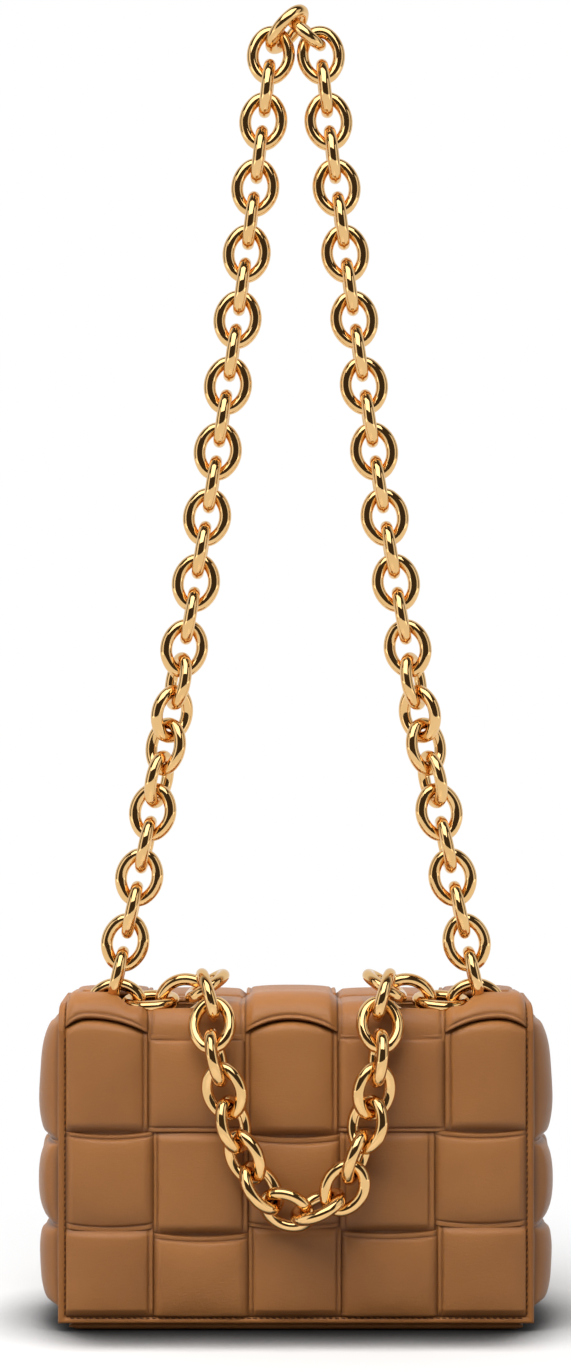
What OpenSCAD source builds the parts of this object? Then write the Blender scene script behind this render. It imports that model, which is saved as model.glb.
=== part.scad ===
// Chain shoulder bag, in millimetres. The origin is the inner side of the crown link's top bend.
// +Z is up and the bag's front looks along -Y. The bag itself is drawn from its own middle on the floor.

/* [Chain] */
// Thickness of the link wire
wire_d = 6.1; // [5.9:0.01:6.2]
// Outer length of one link
link_length = 29.6; // [29.55:0.01:29.65]
// Outer width of one link
link_width = 24.2; // [24.1:0.01:24.3]
// Links in one strand of the strap, end link included
strand_count = 29; // [28:1:29]
// Link centre to link centre along a strand
strand_pitch = 16.67; // [16.66:0.01:16.68]
// Half the spacing of the two top links
strand_gap_half = 12.5; // [12.48:0.01:12.52]
// Height of the two top links' centres above the floor
strand_top = 634.62; // [634.6:0.01:634.7]
// Lean of a strand at its top, in degrees
lean_top = 6.3; // [6.28:0.01:6.32]
// Lean of a strand at its foot, in degrees
lean_end = 12.58; // [12.56:0.01:12.6]

/* [Bag body] */
// Width of the body between the outer faces of the side panels
body_width = 228; // [226:0.1:229]
// From the bag's middle to the raised strips in front
front_reach = 45; // [44.8:0.1:45.2]
// From the bag's middle to the raised strips behind
back_reach = 40; // [39:0.1:60]
// From the raised front strips to the strap's plane
strap_inset = 23; // [22.9:0.1:23.1]
// Height of the fold between shoulder and flap
fold_height = 147; // [146.8:0.1:147]
// Height of the raised shoulder strips above the fold
crest_rise = 19; // [18.9:0.1:19]
// Height of the recessed shoulder strips above the fold
inlay_rise = 14; // [13.8:0.1:14]
// Thickness of the recessed shoulder strips
inlay_t = 1.5; // [1.3:0.1:1.6]
// Thickness of the top and back leather
leather_t = 1.7; // [1.5:0.1:1.8]
// Thickness of the front wall and the side panels
wall_t = 2; // [1.8:0.1:2.2]
// Thickness of the base panel
base_t = 3; // [2.8:0.1:3.2]
// Thickness of the board inside the base
board_t = 1.6; // [1.4:0.1:1.8]
// Thickness of the inner lining
lining_t = 0.8; // [0.7:0.1:1]
// Height of the front wall's free edge
mouth_height = 108; // [80:1:112]
// How far the side puffs stand out
puff_out = 15.7; // [12:0.1:18]
// How thick the side puffs are at their edges
puff_edge = 7.2; // [6:0.1:8]

/* [Chain wells] */
// From the bag's middle to a slot's outer end
slot_out = 106; // [105.9:0.1:106.4]
// From the bag's middle to a slot's inner end
slot_in = 41.3; // [41.1:0.1:41.3]
// From the bag's middle to a slot's front edge
slot_front = 35.2; // [35.1:0.1:35.2]
// From the bag's middle to a slot's back edge
slot_back = 10.2; // [10:0.1:10.2]
// Thickness of a well's leather
well_t = 1.2; // [1:0.1:1.2]
// How far a well's floor lies below the fold
well_drop = 1.8; // [1.7:0.1:1.8]
// Inner radius of an anchor loop
loop_in = 3.9; // [3.6:0.1:4]
// Thickness of an anchor loop's leather
loop_t = 1.4; // [1.2:0.1:1.5]
// Width of an anchor loop along the link's bar
loop_l = 7; // [6:0.1:7.4]
// Length of an anchor loop's foot from front to back
foot_l = 7; // [6:0.1:7.2]

/* [Flap] */
// Width of the flap with its stitched borders
flap_width = 236; // [234:0.1:238]
// Height of the flap's lower edge above the floor
flap_low = 3.5; // [3.2:0.1:6]
// Thickness of a padded strip at its crown
pad_t = 5; // [4.6:0.1:5]
// Thickness of a padded strip at its edges
pad_edge = 2.4; // [1.6:0.1:3]
// Gap between the flap's upper edge and the shoulder
fold_gap = 0.3; // [0.25:0.05:0.5]
// Gap between the padded strips and the shoulder
strip_gap = 0.6; // [0.4:0.1:0.8]
// Thickness of the flap's leather
flap_t = 1.5; // [1.4:0.1:1.5]
// Thickness of the flap's lining
flap_skin_t = 0.6; // [0.5:0.1:0.6]
// Gap between the closed flap and the front wall
wall_gap = 0.6; // [0.5:0.1:0.7]
// Diameter of a magnet
magnet_d = 14; // [10:0.1:16]
// Thickness of a magnet
magnet_t = 1.1; // [0.9:0.1:1.2]

/* [Hidden] */
$fn = 96;

gold = [0.85, 0.62, 0.25];
tan_leather = [0.66, 0.42, 0.22];
pale_leather = [0.72, 0.48, 0.28];
lining_tone = [0.45, 0.30, 0.18];
board_tone = [0.3, 0.28, 0.25];
steel_tone = [0.7, 0.7, 0.72];

// Link outline: four tangent arcs that meet at 45 degrees.
half_l = (link_length - wire_d) / 2;
half_w = (link_width - wire_d) / 2;
arc_c = (half_l - half_w) / (2 - sqrt(2));
end_r = half_l - arc_c;
side_r = end_r + sqrt(2) * arc_c;

// Link poses on the left side, then the handle's twelve links: centre in link lengths from the bag's
// middle on the floor, then the unit vector along the link and the one across it.
anchor_shares = [-3.0270, -0.7432, 5.4358, 1.0000, 0.0000, 0.0000, 0.0000, 0.0000, 1.0000];
flat_shares = [-2.4586, -0.7718, 5.4462, 0.9935, -0.1030, 0.0487, -0.0912, -0.9752, -0.2017];
bridge_shares = [-1.8961, -0.8448, 5.5195, 0.9385, -0.1569, 0.3077, -0.3154, -0.0260, 0.9486];
rear_shares = [-1.4935, -0.9691, 5.7286, 0.3693, 0.8883, 0.2731, 0.7688, -0.4571, 0.4472];
corner_shares = [-1.4688, -1.4746, 5.6289, 0.2554, -0.7155, -0.6502, 0.1009, 0.6886, -0.7181];
handle_end_shares = [-1.3953, -1.6916, 5.1557, 0.0000, -0.4147, -0.9100, 0.9781, -0.1892, 0.0862];
handle_shares = [
    [-1.3152, -1.8866, 4.6370, 0.2043, -0.0846, -0.9752, 0.1827, 0.9820, -0.0470],
    [-1.1880, -1.8767, 4.0814, 0.2326, 0.0535, -0.9711, 0.8965, -0.3989, 0.1927],
    [-1.0358, -1.8582, 3.5281, 0.2761, 0.0179, -0.9609, 0.5445, 0.8210, 0.1718],
    [-0.8519, -1.8370, 2.9826, 0.3712, 0.0177, -0.9284, 0.7021, -0.6597, 0.2681],
    [-0.5672, -1.8579, 2.4858, 0.5920, 0.0163, -0.8057, 0.4493, 0.8233, 0.3468],
    [-0.1556, -1.8009, 2.1039, 0.8927, 0.0145, -0.4505, 0.4015, -0.4797, 0.7802],
    [0.3641, -1.8757, 2.1712, 0.9037, 0.0293, 0.4271, -0.1554, 0.9521, 0.2635],
    [0.8052, -1.8755, 2.4811, 0.4949, -0.0184, 0.8687, -0.8675, 0.0467, 0.4952],
    [1.0175, -1.8751, 2.9972, 0.3435, 0.0342, 0.9385, 0.3383, 0.9277, -0.1576],
    [1.1796, -1.8826, 3.5319, 0.2141, 0.0139, 0.9767, 0.7401, -0.6549, -0.1529],
    [1.2884, -1.8808, 4.0802, 0.1472, -0.0249, 0.9888, 0.8595, 0.4980, -0.1154],
    [1.3563, -1.8857, 4.6337, 0.1009, 0.0612, 0.9930, 0.1846, -0.9819, 0.0418]
];
crown_shares = [-0.1504, -0.7932, 21.8691, 0.5420, -0.4773, 0.6917, 0.5193, 0.8373, 0.1709];
crown_bridge_shares = [0.1438, -0.6735, 21.8639, 0.5384, -0.5598, -0.6299, 0.5413, 0.8026, -0.2506];

// The links of a strand turn by a right angle low down, so that the last one stands edge-on.
turn_from = 16;
turn_to = 25;

// Body levels and walls, y from the bag's middle.
arc_y_front = crest_rise - front_reach;
arc_y_back = back_reach - crest_rise;
panel_r = inlay_rise - inlay_t;
panel_in = panel_r - leather_t;
skin_front = arc_y_front - panel_r;
skin_back = arc_y_back + panel_r;
half_body = body_width / 2;
flap_back = skin_front + flap_t + flap_skin_t;
wall_front = flap_back + wall_gap;
side_in = half_body - wall_t;
back_in = skin_back - leather_t;
column_shares = [-0.4831, -0.3008, -0.0975, 0.0919, 0.2903, 0.4831];
row_shares = [0.0503, 0.3558, 0.6707];
puff_shares = [[0.068, 0.345], [0.362, 0.618], [0.636, 1.03]];
blunt_share = 0.15;
magnet_shares = [0.23, 0.5];
row_top = fold_height - strip_gap;
magnet_x = magnet_shares[0] * flap_width;
magnet_z = magnet_shares[1] * fold_height;

// Chain wells: the floor of the cup, and the lower bar of the anchor link.
well_floor = fold_height - well_drop;
anchor_low = anchor_shares[2] * link_length - half_w;

function column(i) = column_shares[i] * flap_width;
function row(j) = j < 3 ? row_shares[j] * fold_height : row_top;
function arc_r(w, t, e) = (w * w / 4 + (t - e) * (t - e)) / (2 * (t - e));
function first(s) = [s[0], s[1], s[2]];
function along(s) = [s[3], s[4], s[5]] / norm([s[3], s[4], s[5]]);
function across(s) = let (u = along(s), v = [s[6], s[7], s[8]], p = v - (v * u) * u) p / norm(p);
function lean(i) = lean_top + (lean_end - lean_top) * i / (strand_count - 1);
function strand_at(i) = i == 0
    ? [-strand_gap_half, 0, strand_top]
    : strand_at(i - 1) - strand_pitch * [sin(lean(i - 0.5)), 0, cos(lean(i - 0.5))];
function ease(s) = s <= 0 ? 0 : s >= 1 ? 1 : s * s * (3 - 2 * s);
function roll(i) = 90 * (i % 2) + 90 * ease((i - turn_from) / (turn_to - turn_from));

module at_bag()
    translate(-first(crown_shares) * link_length - along(crown_shares) * (half_l - wire_d / 2)) children();

module place(c, u, w) {
    v = cross(u, w);
    multmatrix([[u[0], w[0], v[0], c[0]], [u[1], w[1], v[1], c[1]], [u[2], w[2], v[2], c[2]], [0, 0, 0, 1]])
        children();
}

module bend(r, from)
    rotate_extrude(angle = 90, start = from) translate([r, 0]) circle(d = wire_d, $fn = 32);

module link() {
    for (s = [-1, 1]) {
        translate([s * arc_c, 0, 0]) bend(end_r, s > 0 ? -45 : 135);
        translate([0, -s * arc_c, 0]) bend(side_r, s > 0 ? 45 : 225);
    }
}

module posed(s) place(first(s) * link_length, along(s), across(s)) link();

module mirrored(side) {
    if (side < 0) children();
    else mirror([1, 0, 0]) children();
}

module strand_link(i) {
    u = [sin(lean(i)), 0, cos(lean(i))];
    w = [cos(lean(i)) * cos(roll(i)), sin(roll(i)), -sin(lean(i)) * cos(roll(i))];
    c = strand_at(i) - [0, front_reach - strap_inset, 0];
    place(c, u, w) link();
}

module strand(side)
    color(gold) at_bag() mirrored(side) for (i = [0:strand_count - 2]) strand_link(i);

module strand_end(side)
    color(gold) at_bag() mirrored(side) strand_link(strand_count - 1);

module chain_piece(s, side)
    color(gold) at_bag() mirrored(side) posed(s);

module box(x0, x1, y0, y1, z0, z1)
    translate([x0, y0, z0]) cube([x1 - x0, y1 - y0, z1 - z0]);

// A strip cell lies on the plane y = 0 and swells towards -Y. Its ends are a little blunter than its sides.
module pad(w, h, t, e) {
    blunt_t = t + (t - e) * blunt_share;
    blunt_e = e + (t - e) * blunt_share;
    rw = arc_r(w, t, e);
    rh = arc_r(h, blunt_t, blunt_e);
    intersection() {
        translate([-w / 2, -2 * t, -h / 2]) cube([w, 2 * t, h]);
        translate([0, rw - t, 0]) cylinder(r = rw, h = 2 * h, center = true);
        translate([0, rh - blunt_t, 0]) rotate([0, 90, 0]) cylinder(r = rh, h = 2 * w, center = true);
    }
}

module cells(odd)
    for (i = [0:4], j = [0:2])
        if ((i + j) % 2 == odd)
            translate([(column(i) + column(i + 1)) / 2, 0, (row(j) + row(j + 1)) / 2])
                pad(column(i + 1) - column(i), row(j + 1) - row(j), pad_t, pad_edge);

// A wall that goes up from the fold, over the top and down to the fold again.
module wrap(r, t, x0, x1) {
    for (s = [0, 1])
        translate([x0, s > 0 ? arc_y_back : arc_y_front, fold_height]) rotate([90, 0, 90])
            rotate_extrude(angle = 90, start = s > 0 ? 0 : 90) translate([r - t, 0]) square([t, x1 - x0]);
    box(x0, x1, arc_y_front, arc_y_back, fold_height + r - t, fold_height + r);
}

module slots() {
    for (s = [-1, 1])
        mirrored(s)
            box(-slot_out, -slot_in, -slot_front, -slot_back, well_floor, fold_height + 2 * crest_rise);
}

module crown_link() color(gold) at_bag() posed(crown_shares);
module crown_bridge_link() color(gold) at_bag() posed(crown_bridge_shares);
module handle_links() color(gold) at_bag() for (s = handle_shares) posed(s);

module base_panel()
    color(tan_leather) at_bag() box(-side_in, side_in, wall_front, back_in, 0, base_t);

module base_board()
    color(board_tone) at_bag()
        box(-side_in + wall_gap, side_in - wall_gap, wall_front + wall_t + wall_gap, back_in - wall_gap,
            base_t, base_t + board_t);

module front_wall()
    color(tan_leather) at_bag() difference() {
        box(-side_in, side_in, wall_front, wall_front + wall_t, base_t, mouth_height);
        for (s = [-1, 1])
            translate([s * magnet_x, wall_front + wall_t - magnet_t, magnet_z]) rotate([-90, 0, 0])
                cylinder(d = magnet_d, h = wall_t);
    }

module back_panel()
    color(tan_leather) at_bag() box(-half_body, half_body, back_in, skin_back, base_t, fold_height);

module side_panel(side)
    color(tan_leather) at_bag() mirrored(side) {
        box(-half_body, -side_in, wall_front, back_in, 0, fold_height);
        box(-half_body, -side_in, arc_y_front, arc_y_back, fold_height, fold_height + panel_in);
        for (s = [0, 1])
            translate([-half_body, s > 0 ? arc_y_back : arc_y_front, fold_height]) rotate([90, 0, 90])
                rotate_extrude(angle = 90, start = s > 0 ? 0 : 90)
                    square([s > 0 ? panel_in : arc_y_front - wall_front, half_body - side_in]);
    }

module side_puffs(side)
    color(pale_leather) at_bag() mirrored(side)
        for (p = puff_shares)
            translate([-half_body, (wall_front + back_in) / 2, (p[0] + p[1]) / 2 * fold_height])
                rotate([0, 0, -90])
                    pad(back_in - wall_front - wall_gap, (p[1] - p[0]) * fold_height, puff_out, puff_edge);

module top_panel()
    color(tan_leather) at_bag() difference() {
        wrap(panel_r, leather_t, -half_body, half_body);
        slots();
    }

module shoulder_strips_raised()
    color(pale_leather) at_bag() difference() {
        for (i = [0, 2, 4]) wrap(crest_rise, crest_rise - panel_r, column(i), column(i + 1));
        slots();
    }

module shoulder_strips_recessed()
    color(pale_leather) at_bag() difference() {
        for (i = [1, 3]) wrap(inlay_rise, inlay_rise - panel_r, column(i), column(i + 1));
        slots();
    }

module chain_well(side)
    color(lining_tone) at_bag() mirrored(side) difference() {
        box(-slot_out - well_t, -slot_in + well_t, -slot_front - well_t / 2, -slot_back + well_t,
            well_floor - well_t, fold_height + panel_in);
        box(-slot_out, -slot_in, -slot_front + well_t / 2, -slot_back, well_floor, fold_height + crest_rise);
        wrap(2 * crest_rise, 2 * crest_rise - panel_in, -half_body, half_body);
    }

module anchor_loops()
    color(tan_leather) at_bag() for (s = [-1, 1]) mirrored(s)
        translate([anchor_shares[0] * link_length, anchor_shares[1] * link_length, 0]) difference() {
            union() {
                translate([0, 0, anchor_low]) rotate([0, 90, 0])
                    cylinder(r = loop_in + loop_t, h = loop_l, center = true);
                box(-loop_l / 2, loop_l / 2, -foot_l / 2, foot_l / 2, well_floor, anchor_low);
            }
            translate([0, 0, anchor_low]) rotate([0, 90, 0]) cylinder(r = loop_in, h = 2 * loop_l, center = true);
        }

module inner_lining()
    color(lining_tone) at_bag() difference() {
        box(-side_in, side_in, wall_front + wall_t, back_in, base_t + board_t, well_floor - 2 * well_t);
        box(-side_in + lining_t, side_in - lining_t, wall_front + wall_t + lining_t, back_in - lining_t,
            base_t + board_t + lining_t, fold_height);
        box(-side_in + lining_t, side_in - lining_t, wall_front, wall_front + wall_t + 2 * lining_t,
            mouth_height - lining_t, fold_height);
    }

module back_cells(odd)
    color(pale_leather) at_bag() translate([0, skin_back, 0]) rotate([0, 0, 180]) cells(odd);

module flap_panel()
    color(tan_leather) at_bag() difference() {
        box(-flap_width / 2, flap_width / 2, skin_front, skin_front + flap_t, flap_low, fold_height - fold_gap);
        for (s = [-1, 1])
            translate([s * magnet_x, skin_front + flap_t - magnet_t, magnet_z]) rotate([-90, 0, 0])
                cylinder(d = magnet_d, h = flap_t);
    }

module flap_cells(odd)
    color(pale_leather) at_bag() translate([0, skin_front, 0]) cells(odd);

module flap_lining()
    color(lining_tone) at_bag()
        box(-flap_width / 2, flap_width / 2, skin_front + flap_t, flap_back, flap_low, fold_height - fold_gap);

module magnets(y)
    color(steel_tone) at_bag() for (s = [-1, 1])
        translate([s * magnet_x, y - magnet_t, magnet_z]) rotate([-90, 0, 0])
            cylinder(d = magnet_d, h = magnet_t);

crown_link();
crown_bridge_link();
strand(-1);  // strap_links_left
strand(1);  // strap_links_right
strand_end(-1);  // strap_end_link_left
strand_end(1);  // strap_end_link_right
chain_piece(anchor_shares, -1);  // anchor_link_left
chain_piece(anchor_shares, 1);  // anchor_link_right
chain_piece(flat_shares, -1);  // flat_link_left
chain_piece(flat_shares, 1);  // flat_link_right
chain_piece(bridge_shares, -1);  // bridge_link_left
chain_piece(bridge_shares, 1);  // bridge_link_right
chain_piece(rear_shares, -1);  // rear_link_left
chain_piece(rear_shares, 1);  // rear_link_right
chain_piece(corner_shares, -1);  // corner_link_left
chain_piece(corner_shares, 1);  // corner_link_right
chain_piece(handle_end_shares, -1);  // handle_end_link_left
chain_piece(handle_end_shares, 1);  // handle_end_link_right
handle_links();
base_panel();
base_board();
front_wall();
back_panel();
side_panel(-1);  // side_panel_left
side_panel(1);  // side_panel_right
side_puffs(-1);  // side_puffs_left
side_puffs(1);  // side_puffs_right
top_panel();
shoulder_strips_raised();
shoulder_strips_recessed();
chain_well(-1);  // chain_well_left
chain_well(1);  // chain_well_right
anchor_loops();
inner_lining();
back_cells(0);  // back_strips_vertical
back_cells(1);  // back_strips_horizontal
flap_panel();
flap_cells(0);  // flap_strips_vertical
flap_cells(1);  // flap_strips_horizontal
flap_lining();
magnets(skin_front + flap_t);  // flap_magnets
magnets(wall_front + wall_t);  // wall_magnets
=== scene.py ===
import math
import bpy
import numpy as np
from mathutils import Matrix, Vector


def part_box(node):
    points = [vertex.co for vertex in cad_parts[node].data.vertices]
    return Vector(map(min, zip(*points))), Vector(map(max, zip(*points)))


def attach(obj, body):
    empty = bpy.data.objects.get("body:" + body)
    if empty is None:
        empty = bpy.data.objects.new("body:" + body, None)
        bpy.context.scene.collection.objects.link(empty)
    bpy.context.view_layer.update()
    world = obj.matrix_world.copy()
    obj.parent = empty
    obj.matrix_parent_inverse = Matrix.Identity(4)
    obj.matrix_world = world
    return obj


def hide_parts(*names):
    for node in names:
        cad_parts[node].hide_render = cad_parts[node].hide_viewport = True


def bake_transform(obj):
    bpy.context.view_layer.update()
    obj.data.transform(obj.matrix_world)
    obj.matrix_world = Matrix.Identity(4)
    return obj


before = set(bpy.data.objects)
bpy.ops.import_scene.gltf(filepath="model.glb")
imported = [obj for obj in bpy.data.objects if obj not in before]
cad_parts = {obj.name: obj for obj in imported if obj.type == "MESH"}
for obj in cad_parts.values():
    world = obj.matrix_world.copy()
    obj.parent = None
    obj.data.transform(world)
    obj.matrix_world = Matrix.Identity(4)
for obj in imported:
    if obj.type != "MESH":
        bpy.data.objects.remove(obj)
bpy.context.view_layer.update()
print("stage 1: frame loaded")

# Everything on the bag is worked out in millimetres from the bag's own middle on the floor.
body = {
    "frontFace": 38.5,         # from the middle forward to the face of the flap's sheet
    "foldHeight": 147.0,       # where the shoulder turns into the flap
    "arcFront": -26.0,         # centre line of the front shoulder's turn
    "arcBack": 21.0,           # centre line of the back shoulder's turn
    "skinRadius": 12.5,        # radius of the leather under the strips
    "pathRadius": 15.5,        # radius at which lengths over the shoulder are counted
    "sheetHalf": 117.8,        # half width of the stitched sheet
    "bodyHalf": 114.0,         # half width between the outer faces of the sides
    "slotX": (41.3, 106.0),    # each slot over a chain well, from its inner to its outer end
    "slotY": (-35.2, -10.2),   # each chain well, from front to back
    "wellFloor": 145.4,
}
flapLow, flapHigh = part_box("flap_panel")
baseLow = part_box("base_panel")[0]
bagMiddle = np.array([(flapLow[0] + flapHigh[0]) / 2, flapLow[1] + body["frontFace"] / 1000, baseLow[2]])
turnLength = body["pathRadius"] * math.pi / 2
topLength = body["arcBack"] - body["arcFront"]
wrapLength = 2 * turnLength + topLength


def smooth(values, low, high):
    # a soft step from 0 at low to 1 at high
    t = np.clip((values - low) / (high - low), 0, 1)
    return t * t * (3 - 2 * t)


def rolled(gap, radius):
    # the height of a quarter circle: 0 at the edge, 1 from one radius inwards
    return np.sqrt(np.clip(1 - np.clip(1 - gap / radius, 0, 1) ** 2, 0, 1))


def wrapPoint(a, b, n):
    # a runs to the right, b up the front, round the shoulder, back over the top and down the back,
    # and n stands out of the leather: a quarter turn, a flat and a quarter turn between two straight falls
    overFront, overBack = np.clip(b, 0, turnLength), np.clip(b - turnLength - topLength, 0, turnLength)
    angle = (overFront + overBack) / body["pathRadius"]
    along = np.clip(b - turnLength, 0, topLength)
    radius = body["skinRadius"] + n
    y = body["arcFront"] + along - radius * np.cos(angle)
    z = body["foldHeight"] + radius * np.sin(angle) + np.minimum(b, 0) - np.maximum(b - wrapLength, 0)
    return np.stack([a + 0 * b, y, z], -1)


def turnedPoint(a, b, n):
    # the same surface, measured up the back instead of up the front
    return wrapPoint(-a, wrapLength - b, n)


def inMetres(points):
    # millimetres from the bag's middle, made metres in the shared frame
    return points / 1000 + bagMiddle


def outward(points, faces):
    # the signed volume of the closed surface says whether its faces must be turned round
    p = points[faces][..., :3] - points[:, :3].mean(0)
    volume = (np.cross(p[:, 0], p[:, 1]) * p[:, 2]).sum() + (np.cross(p[:, 0], p[:, 2]) * p[:, 3]).sum()
    return points, faces if volume > 0 else faces[:, ::-1]


def shell(top, under, keep=None, paintedShade=None):
    # quads over two matching grids, with a wall along every open rim, turned to face outwards;
    # the fourth column of the points holds the painted shade that darkens the leather in its seams
    rows, cols = top.shape[:2]
    index = np.arange(rows * cols).reshape(rows, cols)
    quads = np.stack([index[:-1, :-1], index[1:, :-1], index[1:, 1:], index[:-1, 1:]], -1).reshape(-1, 4)
    if keep is not None:
        quads = quads[keep.ravel()]
    total = rows * cols
    edges = np.concatenate([quads[:, [k, (k + 1) % 4]] for k in range(4)])
    rim = edges[~np.isin(edges[:, 0] * total + edges[:, 1], edges[:, 1] * total + edges[:, 0])]
    wall = np.stack([rim[:, 1], rim[:, 0], rim[:, 0] + total, rim[:, 1] + total], -1)
    faces = np.concatenate([quads, quads[:, ::-1] + total, wall])
    paintedShade = np.zeros(top.shape[:2]) if paintedShade is None else paintedShade
    points = np.concatenate([np.concatenate([side, paintedShade[..., None]], -1).reshape(-1, 4)
                             for side in (top, under)])
    used, faces = np.unique(faces, return_inverse=True)
    return outward(points[used], faces.reshape(-1, 4))


def gather(parts):
    # joins several surfaces into one list of points and faces
    starts = np.cumsum([0] + [len(points) for points, faces in parts])
    return (np.concatenate([points for points, faces in parts]),
            np.concatenate([faces + start for start, (points, faces) in zip(starts, parts)]))


def makePiece(name, parts, material, bodyName=None, stands=()):
    # one mesh of quads from all the parts, with its body, hiding the solids that it stands for
    points, faces = gather(parts)
    mesh = bpy.data.meshes.new(name)
    mesh.vertices.add(len(points))
    mesh.vertices.foreach_set("co", inMetres(points[:, :3]).ravel())
    mesh.loops.add(faces.size)
    mesh.loops.foreach_set("vertex_index", faces.ravel().astype(np.int32))
    mesh.polygons.add(len(faces))
    mesh.polygons.foreach_set("loop_start", np.arange(0, faces.size, 4, dtype=np.int32))
    mesh.update(calc_edges=True)
    mesh.validate()
    mesh.shade_smooth()
    # the painted shade in the seams goes onto the mesh as a point attribute
    if points.shape[1] > 3:
        paintedShade = mesh.attributes.new("paintedShade", "FLOAT", "POINT")
        paintedShade.data.foreach_set("value", points[:, 3].astype(np.float32))
    piece = bpy.data.objects.new(name, mesh)
    bpy.context.scene.collection.objects.link(piece)
    mesh.materials.append(material)
    if bodyName:
        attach(piece, bodyName)
    if stands:
        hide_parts(*stands)
    return piece


class Wire:
    # wraps a socket, so that sums on shader values are written as sums
    def __init__(self, paint, socket):
        self.paint, self.socket = paint, socket

    def __add__(self, other):
        return self.paint.maths("ADD", self, other)

    def __radd__(self, other):
        return self.paint.maths("ADD", other, self)

    def __mul__(self, other):
        return self.paint.maths("MULTIPLY", self, other)

    def __rmul__(self, other):
        return self.paint.maths("MULTIPLY", other, self)

    def __pow__(self, other):
        return self.paint.maths("POWER", self, other)

    def __rpow__(self, other):
        return self.paint.maths("POWER", other, self)


class Paint:
    # the nodes of one material, or of the world
    def __init__(self, owner):
        owner.use_nodes = True
        self.owner, self.tree = owner, owner.node_tree
        self.tree.nodes.clear()

    def add(self, kind, settings=None, sockets=None, out=0):
        node = self.tree.nodes.new(kind)
        for key, value in (settings or {}).items():
            setattr(node, key, value)
        for key, value in (sockets or {}).items():
            if isinstance(value, Wire):
                self.tree.links.new(value.socket, node.inputs[key])
            else:
                node.inputs[key].default_value = value
        return Wire(self, node.outputs[out]) if len(node.outputs) else None

    def maths(self, operation, *values):
        return self.add("ShaderNodeMath", {"operation": operation}, dict(enumerate(values)))

    def mix(self, factor, first, second):
        return self.add("ShaderNodeMix", {"data_type": "RGBA"}, {0: factor, 6: first, 7: second}, 2)

    def between(self, value, low, high, toLow=0.0, toHigh=1.0, soft=True):
        # carries a value from one span to another, by a soft step or a straight line
        return self.add("ShaderNodeMapRange", {"interpolation_type": "SMOOTHSTEP" if soft else "LINEAR"}, {
            "Value": value, "From Min": low, "From Max": high, "To Min": toLow, "To Max": toHigh})

    def noise(self, where, scale, detail, rough=0.5):
        # one noise texture, by its scale per metre
        return self.add("ShaderNodeTexNoise", None, {
            "Vector": where, "Scale": scale, "Detail": detail, "Roughness": rough})

    def finish(self, surface, kind="ShaderNodeOutputMaterial"):
        self.add(kind, None, {0: surface})
        return self.owner


# The gold plating: two close tones in slow clouds under a faint polish. Noise scales are per metre.
plating = {
    "colour": (0.84, 0.555, 0.26, 1), "deep": (0.76, 0.46, 0.175, 1), "rough": 0.035, "roughSpread": 0.05,
    "cloudScale": 60.0, "polishScale": 900.0, "bump": 0.02, "depth": 0.0002,
}


def makeGold(v):
    # clouds mix the two tones and roughen the polish, and a finer noise lifts it by a hair
    paint = Paint(bpy.data.materials.new("polishedGold"))
    where = paint.add("ShaderNodeTexCoord", out=3)
    cloud = paint.noise(where, v["cloudScale"], 3.0)
    polish = paint.noise(where, v["polishScale"], 2.0)
    surface = paint.add("ShaderNodeBsdfPrincipled", None, {
        "Base Color": paint.mix(cloud, v["colour"], v["deep"]),
        "Roughness": cloud * v["roughSpread"] + v["rough"],
        "Metallic": 1.0,
        "Normal": paint.add("ShaderNodeBump", None, {
            "Strength": v["bump"], "Distance": v["depth"], "Height": polish})})
    return paint.finish(surface)


# What all the leathers share, and then each leather's own tones and grain, with the colour of the painted
# shade in its seams.
hide = {
    "driftScale": 16.0, "driftRough": 0.55, "driftFrom": 0.3, "driftTo": 0.7,    # slow drift of tone
    "creaseTurn": (0.0, 0.7, 0.0), "creaseScale": (260.0, 260.0, 900.0),         # slanted short creases
    "poreEdge": 0.08, "poreHeight": 0.35, "grainHeight": 0.5, "depth": 0.00035,
    # how strongly the painted shade darkens the seams
    "seamShadeDepth": 0.8, "roughSpread": 0.1,
}
leathers = {
    "stripLeather": {
        "colour": (0.40, 0.158, 0.038, 1), "deep": (0.335, 0.127, 0.03, 1), "seamShade": (0.085, 0.026, 0.006, 1),
        "poreScale": 1500.0, "grainScale": 700.0, "creases": 0.7, "bump": 0.5, "rough": 0.34, "shine": 0.5},
    "sheetLeather": {
        "colour": (0.36, 0.14, 0.034, 1), "deep": (0.31, 0.115, 0.027, 1), "seamShade": (0.085, 0.026, 0.006, 1),
        "poreScale": 1500.0, "grainScale": 700.0, "creases": 0.5, "bump": 0.4, "rough": 0.42, "shine": 0.38},
    "liningLeather": {
        "colour": (0.27, 0.115, 0.036, 1), "deep": (0.22, 0.09, 0.028, 1), "seamShade": (0.06, 0.02, 0.005, 1),
        "poreScale": 900.0, "grainScale": 1200.0, "creases": 0.1, "bump": 0.4, "rough": 0.62, "shine": 0.2},
    "waxedThread": {
        "colour": (0.13, 0.05, 0.015, 1), "deep": (0.09, 0.034, 0.01, 1), "seamShade": (0.03, 0.01, 0.003, 1),
        "poreScale": 3000.0, "grainScale": 4000.0, "creases": 0.0, "bump": 0.3, "rough": 0.55, "shine": 0.3},
}


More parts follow.
